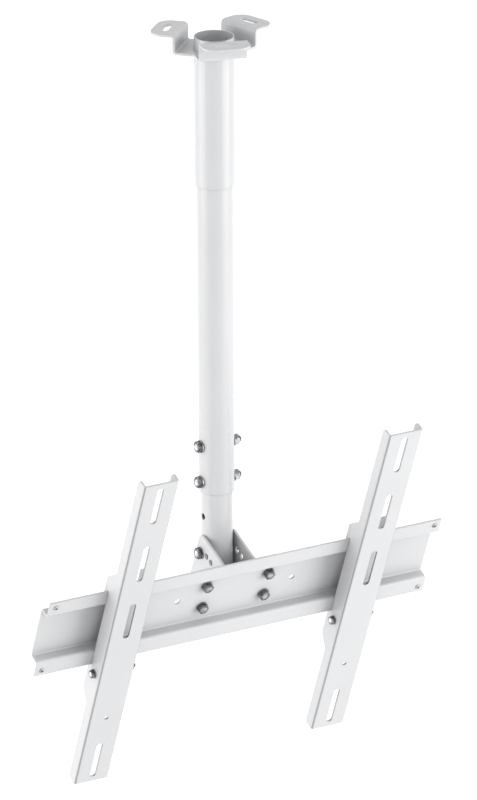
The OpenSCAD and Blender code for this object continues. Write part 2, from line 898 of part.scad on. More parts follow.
module arm_left_nut() {
    color(zinc) on_arm(arm_left_x) lock_nut();
}

module arm_right() {
    color(coat) on_arm(arm_right_x) arm();
}

module arm_right_bolt() {
    color(dark) on_arm(arm_right_x) lock_bolt();
}

module arm_right_washers() {
    color(zinc) on_arm(arm_right_x) lock_washers();
}

module arm_right_nut() {
    color(zinc) on_arm(arm_right_x) lock_nut();
}

ceiling_bracket();
upper_tube();
bracket_weld();
clamp_weld_nuts();
clamp_screws();
guide_bush();
middle_tube();
top_glide();
lower_tube();
pole_bolts();
pole_washers();
pole_nuts();
pivot_bolt();
pivot_washers();
pivot_nut();
guide_bolt();
guide_washers();
guide_nut();
cheek_left();
cheek_right();
rail();
rail_bolts();
rail_washers();
rail_nuts();
stop_screws();
arm_left();
arm_left_bolt();
arm_left_washers();
arm_left_nut();
arm_right();
arm_right_bolt();
arm_right_washers();
arm_right_nut();
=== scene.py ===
"""Looks of a white ceiling mount for a television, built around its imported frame.

The sheet parts and tubes of the frame keep their shapes and get a powder-coat finish. The
bolts, the weld and the small screws are modelled here with threads, recesses and beads.
"""

import logging
import math
from dataclasses import dataclass, field
from enum import Enum

import bmesh
import bpy
from mathutils import Matrix, Vector


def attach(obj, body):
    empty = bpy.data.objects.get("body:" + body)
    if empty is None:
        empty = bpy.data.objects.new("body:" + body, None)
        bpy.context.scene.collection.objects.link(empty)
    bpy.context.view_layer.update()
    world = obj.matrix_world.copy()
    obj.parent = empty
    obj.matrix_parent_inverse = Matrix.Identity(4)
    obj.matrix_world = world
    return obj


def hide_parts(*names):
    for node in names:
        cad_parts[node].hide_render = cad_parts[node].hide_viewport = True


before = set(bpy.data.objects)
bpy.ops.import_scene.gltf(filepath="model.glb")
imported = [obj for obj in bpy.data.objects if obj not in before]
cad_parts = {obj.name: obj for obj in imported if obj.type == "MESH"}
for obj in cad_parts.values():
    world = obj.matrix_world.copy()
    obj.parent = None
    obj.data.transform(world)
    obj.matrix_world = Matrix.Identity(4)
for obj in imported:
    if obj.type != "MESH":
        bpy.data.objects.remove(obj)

LOG = logging.getLogger("ceiling_mount")
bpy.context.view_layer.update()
MM = 0.001

# The head's tilt in the photograph, and the tilt pivot's height in metres
TILT = math.radians(22.5)
PIVOT_Z = -0.6845
# Vertices nearer than this, in metres, become one
MERGE = 1e-6
# Rays of each Bevel and Ambient Occlusion node
SHADE_SAMPLES = 4
# The middle part of a noise, over which a gloss changes
NOISE_MIDDLE = (0.3, 0.7)
QUARTER = math.radians(90)


class Sheet(Enum):
    """What a powder-coated piece was made from, which says where its painted shade goes: along a
    channel's folds or inside a tube.
    """

    FLAT = "flat"
    TUBE = "tube"
    CHANNEL = "channel"


class NodeTree:
    """A short way to add and join shader nodes in one material or world."""

    def __init__(self, tree: bpy.types.NodeTree) -> None:
        """Empties the tree.

        Args:
            tree: the node tree to fill.
        """
        self.tree = tree
        tree.nodes.clear()

    def add(self, kind: str, **sockets: object) -> bpy.types.Node:
        """Adds a node and sets its inputs or properties.

        Args:
            kind: the node's class name.
            **sockets: input names with underscores for spaces, or property names.

        Returns:
            The new node.
        """
        node = self.tree.nodes.new(kind)
        for name, value in sockets.items():
            label = name.replace("_", " ")
            if hasattr(node, name) and label not in node.inputs:
                setattr(node, name, value)
            elif isinstance(value, bpy.types.NodeSocket):
                self.tree.links.new(value, node.inputs[label])
            else:
                node.inputs[label].default_value = value
        return node

    def link(self, source: bpy.types.NodeSocket, target: bpy.types.NodeSocket) -> None:
        """Joins an output to an input.

        Args:
            source: the output socket.
            target: the input socket.
        """
        self.tree.links.new(source, target)

    def math(self, operation: str, a: object, b: object) -> bpy.types.NodeSocket:
        """Adds a Math node.

        Args:
            operation: the node's operation.
            a: first value or socket.
            b: second value or socket.

        Returns:
            The node's output.
        """
        node = self.tree.nodes.new("ShaderNodeMath")
        node.operation = operation
        for slot, value in zip(node.inputs, (a, b)):
            if isinstance(value, bpy.types.NodeSocket):
                self.tree.links.new(value, slot)
            else:
                slot.default_value = value
        return node.outputs[0]

    def times(
        self, a: bpy.types.NodeSocket, b: bpy.types.NodeSocket
    ) -> bpy.types.NodeSocket:
        """Multiplies two colours.

        Args:
            a: first colour.
            b: second colour.

        Returns:
            The product.
        """
        node = self.add("ShaderNodeMix", data_type="RGBA", blend_type="MULTIPLY")
        node.inputs["Factor"].default_value = 1.0
        self.tree.links.new(a, node.inputs["A"])
        self.tree.links.new(b, node.inputs["B"])
        return node.outputs["Result"]

    def ramp(
        self, source: bpy.types.NodeSocket, stops: list[tuple[float, tuple[float, ...]]]
    ) -> bpy.types.NodeSocket:
        """Adds a colour ramp.

        Args:
            source: the value that picks the colour.
            stops: places and colours, in order.

        Returns:
            The ramp's colour output.
        """
        node = self.tree.nodes.new("ShaderNodeValToRGB")
        self.tree.links.new(source, node.inputs["Fac"])
        marks = node.color_ramp.elements
        while len(marks) < len(stops):
            marks.new(0.5)
        for mark, (place, colour) in zip(marks, stops):
            mark.position = place
            mark.color = (*colour, 1.0)
        return node.outputs["Color"]

    def blend(
        self,
        share: bpy.types.NodeSocket,
        base: bpy.types.NodeSocket,
        over: tuple[float, float, float],
    ) -> bpy.types.NodeSocket:
        """Lays one colour over another.

        Args:
            share: how much of it shows, from 0 to 1.
            base: the colour below.
            over: the colour on top.

        Returns:
            The blended colour.
        """
        node = self.add("ShaderNodeMix", data_type="RGBA")
        self.link(share, node.inputs["Factor"])
        self.link(base, node.inputs["A"])
        node.inputs["B"].default_value = (*over, 1.0)
        return node.outputs["Result"]

    def edges(
        self, rounded: bpy.types.NodeSocket, stops: list[tuple[float, tuple[float, ...]]]
    ) -> bpy.types.NodeSocket:
        """Finds the edges by how far a rounded normal leans from the true one.

        Args:
            rounded: the rounded normal.
            stops: the ramp over the cosine between the two.

        Returns:
            The ramp's colour output.
        """
        dot = self.add("ShaderNodeVectorMath", operation="DOT_PRODUCT")
        self.link(rounded, dot.inputs[0])
        self.link(self.add("ShaderNodeNewGeometry").outputs["Normal"], dot.inputs[1])
        return self.ramp(dot.outputs["Value"], stops)

    def surface(
        self,
        colour: bpy.types.NodeSocket,
        gloss: bpy.types.NodeSocket,
        bump: bpy.types.Node,
        metallic: float = 0.0,
    ) -> None:
        """Ends a material with its shader.

        Args:
            colour: the base colour.
            gloss: the roughness.
            bump: the Bump node.
            metallic: 1 on bare or plated metal.
        """
        shader = self.add("ShaderNodeBsdfPrincipled", Metallic=metallic)
        self.link(colour, shader.inputs["Base Color"])
        self.link(gloss, shader.inputs["Roughness"])
        self.link(bump.outputs["Normal"], shader.inputs["Normal"])
        self.link(shader.outputs["BSDF"], self.add("ShaderNodeOutputMaterial").inputs["Surface"])


def grey(level: float) -> tuple[float, float, float]:
    """Gives a neutral colour.

    Args:
        level: its brightness.

    Returns:
        The colour.
    """
    return (level, level, level)


def new_finish(name: str) -> tuple[bpy.types.Material, NodeTree]:
    """Starts a material.

    Args:
        name: its name.

    Returns:
        The material and its empty node tree.
    """
    mat = bpy.data.materials.new(name)
    mat.use_nodes = True
    return mat, NodeTree(mat.node_tree)


@dataclass(frozen=True)
class PowderCoat:
    """White satin powder coat with a fine orange peel, and painted shade on edges and folds,
    inside tubes and in corners.
    """

    name: str = "powder_coat"
    sheet: Sheet = Sheet.FLAT
    tone: tuple[float, float, float] = (0.80, 0.805, 0.815)
    edge_shade_tone: tuple[float, float, float] = (0.62, 0.63, 0.645)
    fold_and_bore_shade_tone: tuple[float, float, float] = (0.72, 0.725, 0.735)
    corner_reach: float = 0.038
    corner_shade: float = 0.74
    edge_radius: float = 0.0009
    roughness: tuple[float, float] = (0.30, 0.42)
    peel: float = 0.1
    peel_height: float = 0.0003
    peel_scale: float = 620.0
    speck_scale: float = 2400.0
    speck_tone: float = 0.94
    speck_range: tuple[float, float] = (0.27, 0.36)
    cloud_scale: float = 9.0
    cloud_tone: float = 0.975
    cloud_range: tuple[float, float] = (0.35, 0.65)
    corner_shade_range: tuple[float, float] = (0.3, 0.85)
    fold_facing: float = 0.62
    fold_spread: float = 0.24
    edge_shade: float = 0.25
    edge_range: tuple[float, float] = (0.80, 0.985)
    bore_limit: float = -0.01

    def fold_and_bore_shade(self, t: NodeTree, coords: bpy.types.Node) -> bpy.types.NodeSocket | None:
        """Says where painted shade goes.

        Args:
            t: the node tree.
            coords: its Texture Coordinate node.

        Returns:
            1 inside a tube and along a channel's folds, or None on a flat sheet.
        """
        if self.sheet is Sheet.FLAT:
            return None
        facing = t.add("ShaderNodeSeparateXYZ", Vector=coords.outputs["Normal"]).outputs
        if self.sheet is Sheet.CHANNEL:
            off = t.math("SUBTRACT", t.math("ABSOLUTE", facing["X"], 0.0), self.fold_facing)
            return t.math("LESS_THAN", t.math("ABSOLUTE", off, 0.0), self.fold_spread)
        spot = t.add("ShaderNodeSeparateXYZ", Vector=coords.outputs["Object"]).outputs
        along_x = t.math("MULTIPLY", facing["X"], spot["X"])
        outwards = t.math("ADD", along_x, t.math("MULTIPLY", facing["Y"], spot["Y"]))
        return t.math("LESS_THAN", outwards, self.bore_limit)

    def material(self) -> bpy.types.Material:
        """Builds the finish.

        Returns:
            The material.
        """
        mat, t = new_finish(self.name)
        coords = t.add("ShaderNodeTexCoord")
        place = coords.outputs["Object"]
        cloud = t.add("ShaderNodeTexNoise", Vector=place, Scale=self.cloud_scale, Detail=3.0)
        peel = t.add("ShaderNodeTexNoise", Vector=place, Scale=self.peel_scale, Detail=2.0)
        speck = t.add("ShaderNodeTexNoise", Vector=place, Scale=self.speck_scale, Detail=1.0)
        soft = t.add("ShaderNodeBevel", samples=SHADE_SAMPLES, Radius=self.edge_radius)
        edge = t.edges(
            soft.outputs["Normal"],
            [(self.edge_range[0], grey(1.0)), (self.edge_range[1], grey(0.0))],
        )
        cloudy = tuple(self.cloud_tone * c for c in self.tone)
        body = t.ramp(
            cloud.outputs["Fac"],
            [(self.cloud_range[0], cloudy), (self.cloud_range[1], self.tone)],
        )
        # Painted shade: darker inside a tube's bore and along a channel's folds.
        fold_and_bore_shade = self.fold_and_bore_shade(t, coords)
        if fold_and_bore_shade is not None:
            body = t.blend(fold_and_bore_shade, body, self.fold_and_bore_shade_tone)
        # Painted shade: edges and folds, where the rounded normal leans from the true one, are
        # blended towards a darker grey.
        edge_shaded = t.blend(t.math("MULTIPLY", edge, self.edge_shade), body, self.edge_shade_tone)
        pin = t.ramp(
            speck.outputs["Fac"],
            [(self.speck_range[0], grey(self.speck_tone)), (self.speck_range[1], grey(1.0))],
        )
        # Painted shade: an Ambient Occlusion node darkens the colour in corners and next to
        # neighbouring parts, where shade falls.
        corner = t.add(
            "ShaderNodeAmbientOcclusion", samples=SHADE_SAMPLES, Distance=self.corner_reach
        )
        painted_corner_shade = t.ramp(
            corner.outputs["AO"],
            [(self.corner_shade_range[0], grey(self.corner_shade)), (self.corner_shade_range[1], grey(1.0))],
        )
        stops = [(at, grey(rough)) for at, rough in zip(NOISE_MIDDLE, self.roughness)]
        bump = t.add("ShaderNodeBump", Strength=self.peel, Distance=self.peel_height)
        t.link(peel.outputs["Fac"], bump.inputs["Height"])
        t.link(soft.outputs["Normal"], bump.inputs["Normal"])
        t.surface(t.times(t.times(edge_shaded, pin), painted_corner_shade), t.ramp(peel.outputs["Fac"], stops), bump)
        return mat


@dataclass(frozen=True)
class ZincPlate:
    """Bright zinc plate over cold-headed steel, with fine drawing marks, dull patches and a
    painted dark reflection along its edges.
    """

    name: str = "zinc_bolt_painted_highlight"
    tone: tuple[float, float, float] = (0.86, 0.86, 0.88)
    dull_tone: tuple[float, float, float] = (0.52, 0.52, 0.535)
    rim_reflection_tone: tuple[float, float, float] = (0.04, 0.04, 0.043)
    rim: float = 0.0011
    rim_share: float = 0.9
    rim_range: tuple[float, float] = (0.80, 0.98)
    edge_radius: float = 0.0003
    roughness: tuple[float, float] = (0.18, 0.34)
    patch_scale: float = 210.0
    patch_range: tuple[float, float] = (0.36, 0.6)
    grain: float = 0.2
    grain_height: float = 0.0001
    grain_scale: float = 900.0

    def material(self) -> bpy.types.Material:
        """Builds the finish.

        Returns:
            The material.
        """
        mat, t = new_finish(self.name)
        place = t.add("ShaderNodeTexCoord").outputs["Object"]
        patch = t.add("ShaderNodeTexNoise", Vector=place, Scale=self.patch_scale, Detail=4.0)
        grain = t.add("ShaderNodeTexNoise", Vector=place, Scale=self.grain_scale, Detail=3.0)
        plate = t.ramp(
            patch.outputs["Fac"],
            [(self.patch_range[0], self.dull_tone), (self.patch_range[1], self.tone)],
        )
        # Painted reflection: a near-black rim along the edges stands in for dark surroundings
        # mirrored in the plate.
        wide = t.add("ShaderNodeBevel", samples=SHADE_SAMPLES, Radius=self.rim)
        rim = t.edges(
            wide.outputs["Normal"],
            [(self.rim_range[0], grey(self.rim_share)), (self.rim_range[1], grey(0.0))],
        )
        stops = [(at, grey(rough)) for at, rough in zip(NOISE_MIDDLE, self.roughness)]
        soft = t.add("ShaderNodeBevel", samples=SHADE_SAMPLES, Radius=self.edge_radius)
        bump = t.add("ShaderNodeBump", Strength=self.grain, Distance=self.grain_height)
        t.link(grain.outputs["Fac"], bump.inputs["Height"])
        t.link(soft.outputs["Normal"], bump.inputs["Normal"])
        colour = t.blend(rim, plate, self.rim_reflection_tone)
        t.surface(colour, t.ramp(grain.outputs["Fac"], stops), bump, metallic=1.0)
        return mat


@dataclass(frozen=True)
class MouldedNylon:
    """Dark glass-filled nylon of the guide bush and the top glide."""

    name: str = "nylon"
    tone: tuple[float, float, float] = (0.030, 0.030, 0.033)
    fibre_tone: tuple[float, float, float] = (0.055, 0.055, 0.058)
    fibre_scale: float = 1400.0
    fibre_range: tuple[float, float] = (0.4, 0.68)
    fibre_bump: float = 0.25
    fibre_height: float = 0.0001
    roughness: tuple[float, float] = (0.48, 0.66)

    def material(self) -> bpy.types.Material:
        """Builds the finish.

        Returns:
            The material.
        """
        mat, t = new_finish(self.name)
        place = t.add("ShaderNodeTexCoord").outputs["Object"]
        fibre = t.add("ShaderNodeTexNoise", Vector=place, Scale=self.fibre_scale, Detail=4.0)
        colour = t.ramp(
            fibre.outputs["Fac"],
            [(self.fibre_range[0], self.tone), (self.fibre_range[1], self.fibre_tone)],
        )
        stops = [(at, grey(rough)) for at, rough in zip(NOISE_MIDDLE, self.roughness)]
        bump = t.add("ShaderNodeBump", Strength=self.fibre_bump, Distance=self.fibre_height)
        t.link(fibre.outputs["Fac"], bump.inputs["Height"])
        t.surface(colour, t.ramp(fibre.outputs["Fac"], stops), bump)
        return mat


def dress_node(name: str, material: bpy.types.Material) -> None:
    """Gives a CAD node its finish.

    Args:
        name: the node's name.
        material: the finish.
    """
    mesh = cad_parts[name].data
    if not mesh.materials:
        mesh.materials.append(material)
    for i in range(len(mesh.materials)):
        mesh.materials[i] = material


def make_piece(
    name: str, bm: bmesh.types.BMesh, *materials: bpy.types.Material, smooth: float = 40.0
) -> bpy.types.Object:
    """Turns a bmesh into a piece with its finishes.

    Args:
        name: the piece's name.
        bm: its shape in the frame's coordinates, which is freed.
        *materials: its finishes, in the order of the faces' material numbers.
        smooth: edges under this many degrees are shaded smooth.

    Returns:
        The new object, at the origin.
    """
    bmesh.ops.remove_doubles(bm, verts=bm.verts, dist=MERGE)
    bmesh.ops.recalc_face_normals(bm, faces=bm.faces)
    for face in bm.faces:
        face.smooth = True
    limit = math.radians(smooth)
    for edge in bm.edges:
        edge.smooth = len(edge.link_faces) == 2 and edge.calc_face_angle(math.pi) < limit
    mesh = bpy.data.meshes.new(name)
    bm.to_mesh(mesh)
    bm.free()
    for material in materials:
        mesh.materials.append(material)
    piece = bpy.data.objects.new(name, mesh)
    bpy.context.scene.collection.objects.link(piece)
    return piece


def cut_plane(bm: bmesh.types.BMesh, point: Vector, normal: Vector) -> None:
    """Cuts away what lies beyond a plane and closes the cut.

    Args:
        bm: a closed shape.
        point: a point on the plane.
        normal: the direction of the side that goes.
    """
    result = bmesh.ops.bisect_plane(
        bm,
        geom=[*bm.verts, *bm.edges, *bm.faces],
        dist=MERGE / 10,
        plane_co=point,
        plane_no=normal,
        clear_outer=True,
    )
    rim = [e for e in result["geom_cut"] if isinstance(e, bmesh.types.BMEdge)]
    if rim:
        bmesh.ops.holes_fill(bm, edges=rim, sides=0)


@dataclass(frozen=True)
class HexBolt:
    """A hexagon bolt along +X: its head bears on x = 0 and its shank runs to x = length."""

    d: float
    flats: float
    head_h: float
    length: float
    thread: float
    pitch: float
    turn_steps: int = 20
    rod_sides: int = 48
    # The turned-off corners: how many cuts, their lean, and their reach as a share of the flats
    corner_cuts: int = 24
    corner_lean: float = math.radians(30)
    corner_reach: float = 0.47
    # The head's rim and dish, as shares of the flats, and the dish's depth of the head's height
    rim_share: float = 0.16
    dish_share: float = 0.05
    dish_depth: float = 0.06
    # The thread: its depth and the places of its roots and crests, as shares of the pitch
    thread_depth: float = 0.61
    thread_marks: tuple[tuple[float, bool], ...] = (
        (0.0, False), (0.12, False), (0.44, True), (0.68, True)
    )
    # The tip's chamfer as a share of the diameter
    tip_share: float = 0.125

    def head(self, bm: bmesh.types.BMesh) -> None:
        """Adds the head, a hexagon whose corners are turned off, with a shallow dish.

        Args:
            bm: the mesh to add to.
        """
        part = bmesh.new()
        corner = self.flats / math.sqrt(3)
        bmesh.ops.create_cone(
            part, cap_ends=True, segments=6, radius1=corner, radius2=corner, depth=self.head_h
        )
        bmesh.ops.rotate(part, verts=part.verts, matrix=Matrix.Rotation(-QUARTER, 3, "Y"))
        bmesh.ops.translate(part, verts=part.verts, vec=(-self.head_h / 2, 0, 0))
        lean = self.corner_lean
        rim = Vector((-self.head_h, 0, 0))
        for i in range(self.corner_cuts):
            around = math.tau * i / self.corner_cuts
            out = Vector((0, math.cos(around), math.sin(around)))
            cut_plane(
                part,
                rim + out * self.flats * self.corner_reach,
                (out * math.sin(lean) + Vector((-1, 0, 0)) * math.cos(lean)).normalized(),
            )
        top = min(part.faces, key=lambda f: f.calc_center_median().x)
        bmesh.ops.inset_region(part, faces=[top], thickness=self.flats * self.rim_share)
        # Painted highlight and shade: the head's face takes the first, bright finish, and its
        # rim, flats and chamfers take the second, dark one.
        for face in part.faces:
            face.material_index = int(face is not top)
        bmesh.ops.inset_region(
            part,
            faces=[top],
            thickness=self.flats * self.dish_share,
            depth=-self.head_h * self.dish_depth,
        )
        join(bm, part)

    def shank(self, bm: bmesh.types.BMesh) -> None:
        """Adds the plain shank and the helical thread up to the chamfered tip.

        Args:
            bm: the mesh to add to.
        """
        root = self.d / 2 - self.thread_depth * self.pitch
        crest = self.d / 2
        part = bmesh.new()
        start = self.length - self.thread
        # The thread starts and ends outside the length that is kept, and both ends are cut
        turns = math.ceil(self.thread / self.pitch) + 3
        x = start - 2 * self.pitch
        chain = []
        for _ in range(turns):
            for share, high in self.thread_marks:
                r = crest if high else root
                chain.append(part.verts.new((x + share * self.pitch, 0, r)))
            x += self.pitch
        edges = [part.edges.new(pair) for pair in zip(chain, chain[1:])]
        bmesh.ops.spin(
            part,
            geom=[*chain, *edges],
            axis=(1, 0, 0),
            cent=(0, 0, 0),
            dvec=(self.pitch / self.turn_steps, 0, 0),
            angle=math.tau,
            steps=self.turn_steps,
        )
        bmesh.ops.remove_doubles(part, verts=part.verts, dist=MERGE)
        cut_plane(part, Vector((start, 0, 0)), Vector((-1, 0, 0)))
        cut_plane(part, Vector((self.length, 0, 0)), Vector((1, 0, 0)))
        # The thread takes the second, dark finish, as painted shade.
        for face in part.faces:
            face.material_index = 1
        tip = self.d * self.tip_share
        for v in part.verts:
            r = math.hypot(v.co.y, v.co.z)
            most = crest - max(0.0, v.co.x - (self.length - tip))
            if r > most:
                v.co.y *= most / r
                v.co.z *= most / r
        join(bm, part)
        rod = bmesh.new()
        bmesh.ops.create_cone(
            rod,
            cap_ends=True,
            segments=self.rod_sides,
            radius1=crest,
            radius2=crest,
            depth=start,
        )
        bmesh.ops.rotate(rod, verts=rod.verts, matrix=Matrix.Rotation(QUARTER, 3, "Y"))
        bmesh.ops.translate(rod, verts=rod.verts, vec=(start / 2, 0, 0))
        join(bm, rod)

    def mesh(self, place: Matrix) -> bmesh.types.BMesh:
        """Builds the bolt at its place.

        Args:
            place: from the bolt's own coordinates to the frame's.

        Returns:
            The bolt's mesh.
        """
        bm = bmesh.new()
        self.head(bm)
        self.shank(bm)
        bmesh.ops.transform(bm, matrix=place, verts=bm.verts)
        return bm


@dataclass(frozen=True)
class DomeScrew:
    """A domed screw along +X with a cross recess: its head bears on x = 0."""

    d: float = 4 * MM
    head_d: float = 7 * MM
    head_h: float = 2.4 * MM
    length: float = 2.55 * MM
    recess_reach: float = 1.9 * MM
    recess_w: float = 0.8 * MM
    recess_h: float = 1.4 * MM
    recess_taper: float = 0.6
    rings: int = 22
    steps: int = 64

    def mesh(self, place: Matrix) -> bmesh.types.BMesh:
        """Builds the screw at its place.

        Args:
            place: from the screw's own coordinates to the frame's.

        Returns:
            The screw's mesh.
        """
        bm = bmesh.new()
        rim = self.head_d / 2
        dome = (rim**2 + self.head_h**2) / (2 * self.head_h)
        chain = []
        for i in range(self.rings + 1):
            r = rim * i / self.rings
            chain.append(bm.verts.new((dome - self.head_h - math.sqrt(dome**2 - r**2), 0, r)))
        for x, r in ((0, self.d / 2), (self.length, self.d / 2), (self.length, 0)):
            chain.append(bm.verts.new((x, 0, r)))
        edges = [bm.edges.new(pair) for pair in zip(chain, chain[1:])]
        bmesh.ops.spin(
            bm,
            geom=[*chain, *edges],
            axis=(1, 0, 0),
            cent=(0, 0, 0),
            angle=math.tau,
            steps=self.steps,
            use_merge=True,
        )
        bmesh.ops.remove_doubles(bm, verts=bm.verts, dist=MERGE)
        for v in bm.verts:
            near, far = sorted((abs(v.co.y), abs(v.co.z)))
            if v.co.x < -MERGE and near < self.recess_w / 2 and far < self.recess_reach:
                v.co.x += self.recess_h * (1 - self.recess_taper * far / self.recess_reach)
        bmesh.ops.transform(bm, matrix=place, verts=bm.verts)
        return bm


def join(bm: bmesh.types.BMesh, part: bmesh.types.BMesh) -> None:
    """Adds one bmesh to another and frees it.

    Args:
        bm: the mesh to add to.
        part: the mesh that is added.
    """
    passing = bpy.data.meshes.new("passing")
    part.to_mesh(passing)
    part.free()
    bm.from_mesh(passing)
    bpy.data.meshes.remove(passing)


def head_place(x: float, y: float, z: float) -> Matrix:
    """Gives a place on the tilted head.

    Args:
        x: distance along the rail.
        y: distance behind the tilt pivot, in the head's own directions.
        z: distance above the tilt pivot, in the head's own directions.

    Returns:
        The matrix to the frame's coordinates.
    """
    return (
        Matrix.Translation((0, 0, PIVOT_Z))
        @ Matrix.Rotation(TILT, 4, "X")
        @ Matrix.Translation((x, y, z))
    )


M8 = {"d": 8 * MM, "flats": 13 * MM, "head_h": 5.3 * MM, "pitch": 1.25 * MM}
M6 = {"d": 6 * MM, "flats": 10 * MM, "head_h": 4 * MM, "pitch": 1.0 * MM}


@dataclass
class Finishes:
    """The finishes of the whole mount."""

    coat: bpy.types.Material = field(default_factory=lambda: PowderCoat().material())
    tube_coat: bpy.types.Material = field(
        default_factory=lambda: PowderCoat(
            name="tube_coat", sheet=Sheet.TUBE, roughness=(0.15, 0.23), peel=0.04
        ).material()
    )
    # Painted shade: a longer reach darkens the rail's web beside the arms, where the arms cast
    # their shadow.
    rail_coat: bpy.types.Material = field(
        default_factory=lambda: PowderCoat(
            name="rail_coat", corner_reach=0.095, corner_shade=0.64
        ).material()
    )
    # Painted shade: a dark line along the arms' folds, and darker flanges next to the rail,
    # where the rail shades them.
    arm_coat: bpy.types.Material = field(
        default_factory=lambda: PowderCoat(
            name="arm_coat",
            sheet=Sheet.CHANNEL,
            fold_and_bore_shade_tone=(0.44, 0.445, 0.455),
            corner_reach=0.08,
            corner_shade=0.62,
        ).material()
    )
    # Painted highlight: the bright zinc plate on the bolt heads' faces.
    bolt: bpy.types.Material = field(default_factory=lambda: ZincPlate().material())
    # Painted shade: a dark copy of the bolts' zinc plate for their flats, chamfers and threads.
    shaded_bolt: bpy.types.Material = field(
        default_factory=lambda: ZincPlate(
            name="shaded_bolt", tone=(0.22, 0.22, 0.23), dull_tone=(0.07, 0.07, 0.074)
        ).material()
    )
    nut: bpy.types.Material = field(
        default_factory=lambda: ZincPlate(
            name="zinc_nut", tone=(0.42, 0.42, 0.435), dull_tone=(0.2, 0.2, 0.21), rim=0.0005
        ).material()
    )
    washer: bpy.types.Material = field(
        default_factory=lambda: ZincPlate(
            name="zinc_washer",
            tone=(0.46, 0.46, 0.475),
            dull_tone=(0.24, 0.24, 0.25),
            rim=0.0006,
            roughness=(0.28, 0.45),
        ).material()
    )
    nylon: bpy.types.Material = field(default_factory=lambda: MouldedNylon().material())


@dataclass
class CeilingBracket:
    """The folded bracket and its weld to the upper tube."""

    weld_z: float = -0.025
    weld_ring: float = 0.0262
    bead: float = 0.0022
    bead_sides: int = 12
    bead_sink: float = 0.3
    ripples: int = 46
    ripple_steps: int = 6
    ripple_share: float = 0.12

    def build(self, finishes: Finishes) -> None:
        """Builds the weld bead.

        Args:
            finishes: the mount's finishes.
        """
        bm = bmesh.new()
        ring_z = self.weld_z - self.bead * self.bead_sink
        bmesh.ops.create_circle(bm, segments=self.bead_sides, radius=self.bead)
        bmesh.ops.rotate(bm, verts=bm.verts, matrix=Matrix.Rotation(QUARTER, 3, "X"))
        bmesh.ops.translate(bm, verts=bm.verts, vec=(self.weld_ring, 0, ring_z))
        bmesh.ops.spin(
            bm,
            geom=[*bm.verts, *bm.edges],
            axis=(0, 0, 1),
            cent=(0, 0, 0),
            angle=math.tau,
            steps=self.ripples * self.ripple_steps,
            use_merge=True,
        )
        for v in bm.verts:
            around = math.atan2(v.co.y, v.co.x)
            wave = 0.5 + 0.5 * math.cos(around * self.ripples)
            ring = Vector((math.cos(around), math.sin(around), 0)) * self.weld_ring
            ring.z = ring_z
            v.co = ring + (v.co - ring) * (1 - self.ripple_share + self.ripple_share * wave)
        weld = make_piece("weld_bead", bm, finishes.coat, smooth=70.0)
        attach(weld, "root")
        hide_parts("bracket_weld")
        LOG.info("weld bead with %d ripples", self.ripples)

    def dress(self, finishes: Finishes) -> None:
        """Gives the bracket its finish.

        Args:
            finishes: the mount's finishes.
        """
        dress_node("ceiling_bracket", finishes.coat)


@dataclass
class Pole:
    """The telescopic pole with its clamp screws and through bolts."""

    clamp_turn: float = math.radians(75)
    clamp_heights: tuple[float, float] = (-0.163, -0.135)
    clamp_head_from: float = 0.036139
    clamp_tip: float = 0.0228
    bolt_heights: tuple[float, float] = (-0.5885, -0.541)
    guide_z: float = -0.7295
    wall_half: float = 0.0225
    ear_half: float = 0.0235
    washer_t: float = 0.0016
    beyond: float = 0.010
    thread_in: float = 0.008
    clamp_plain: float = 0.001

    def through_bolt(self, half: float, z: float) -> bmesh.types.BMesh:
        """Builds a bolt through the pole.

        Args:
            half: half of the thickness it clamps.
            z: its height.

        Returns:
            The bolt's mesh.
        """
        length = 2 * half + 2 * self.washer_t + self.beyond
        bolt = HexBolt(**M8, length=length, thread=self.beyond + self.thread_in)
        return bolt.mesh(Matrix.Translation((-half - self.washer_t, 0, z)))

    def build(self, finishes: Finishes) -> None:
        """Builds the clamp screws and the through bolts.

        Args:
            finishes: the mount's finishes.
        """
        length = self.clamp_head_from - self.clamp_tip
        screws = bmesh.new()
        for z in self.clamp_heights:
            place = (
                Matrix.Translation((0, 0, z))
                @ Matrix.Rotation(self.clamp_turn, 4, "Z")
                @ Matrix.Translation((self.clamp_head_from, 0, 0))
                @ Matrix.Rotation(math.pi, 4, "Z")
            )
            screw = HexBolt(**M8, length=length, thread=length - self.clamp_plain)
            join(screws, screw.mesh(place))
        self.place("clamp_screw_pair", screws, "root", "clamp_screws", finishes)
        pair = bmesh.new()
        for z in self.bolt_heights:
            join(pair, self.through_bolt(self.wall_half, z))
        self.place("pole_bolt_pair", pair, "mast", "pole_bolts", finishes)
        self.place(
            "tilt_bolt",
            self.through_bolt(self.ear_half, PIVOT_Z),
            "mast",
            "pivot_bolt",
            finishes,
        )
        self.place(
            "tilt_guide_bolt",
            self.through_bolt(self.ear_half, self.guide_z),
            "mast",
            "guide_bolt",
            finishes,
        )

    def place(
        self, name: str, bm: bmesh.types.BMesh, body: str, node: str, finishes: Finishes
    ) -> None:
        """Makes a bolt piece that stands for a node.

        Args:
            name: the piece's name.
            bm: its shape.
            body: the body it rides on.
            node: the node it replaces.
            finishes: the mount's finishes.
        """
        # The bolts' faces take the bright plate as a painted highlight, and their sides take the
        # dark copy as painted shade.
        piece = make_piece(name, bm, finishes.bolt, finishes.shaded_bolt)
        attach(piece, body)
        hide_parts(node)
        LOG.info("%s on %s", name, body)

    def dress(self, finishes: Finishes) -> None:
        """Gives the tubes, nuts and washers their finishes.

        Args:
            finishes: the mount's finishes.
        """
        for name in ("upper_tube", "middle_tube", "lower_tube"):
            dress_node(name, finishes.tube_coat)
        dress_node("clamp_weld_nuts", finishes.coat)
        for name in ("pole_nuts", "pivot_nut", "guide_nut"):
            dress_node(name, finishes.nut)
        for name in ("pole_washers", "pivot_washers", "guide_washers"):
            dress_node(name, finishes.washer)
        for name in ("guide_bush", "top_glide"):
            dress_node(name, finishes.nylon)


